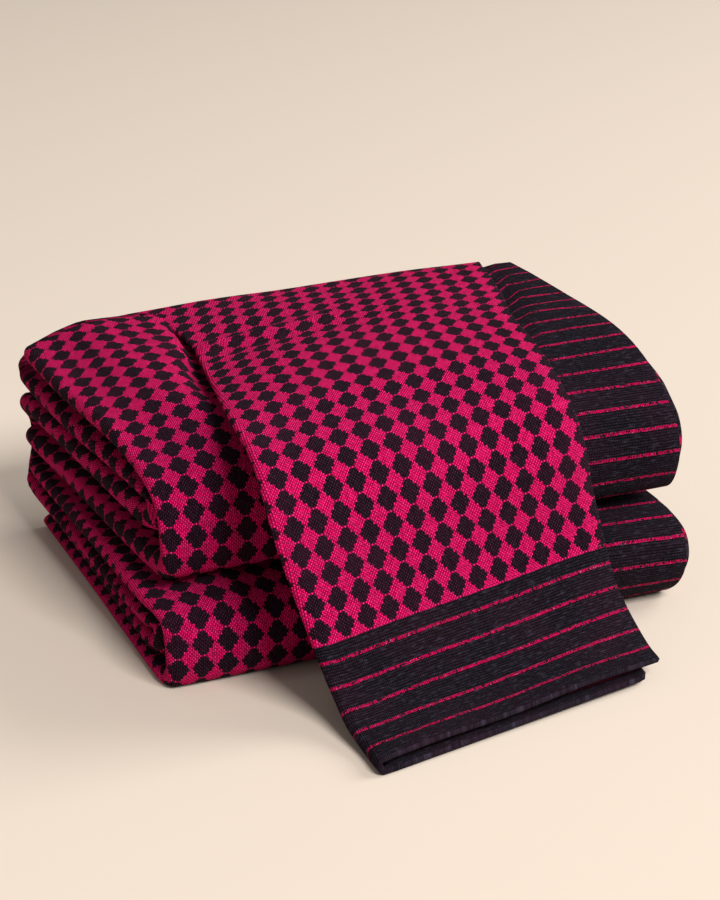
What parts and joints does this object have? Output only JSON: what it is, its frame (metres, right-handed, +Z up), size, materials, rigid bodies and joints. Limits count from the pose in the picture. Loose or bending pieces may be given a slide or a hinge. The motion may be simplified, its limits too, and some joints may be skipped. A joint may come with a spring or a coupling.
{
  "type": "folded bedsheet",
  "caption": "Handwoven check bedsheet folded into a pile, its striped end laid over the top and down the front to the surface",
  "frame": {"origin": "centre of the footprint of the bounding box, on the surface it rests on", "axes": "+X along the front folds to the striped border, +Y from the front to the back of the pile, +Z up"},
  "size_m": [0.297, 0.357, 0.1435],
  "materials": {
    "cloth": "matt coarse cotton weave"
  },
  "bodies": {
    "root": {"bedsheet": "cloth"}
  },
  "joints": []
}
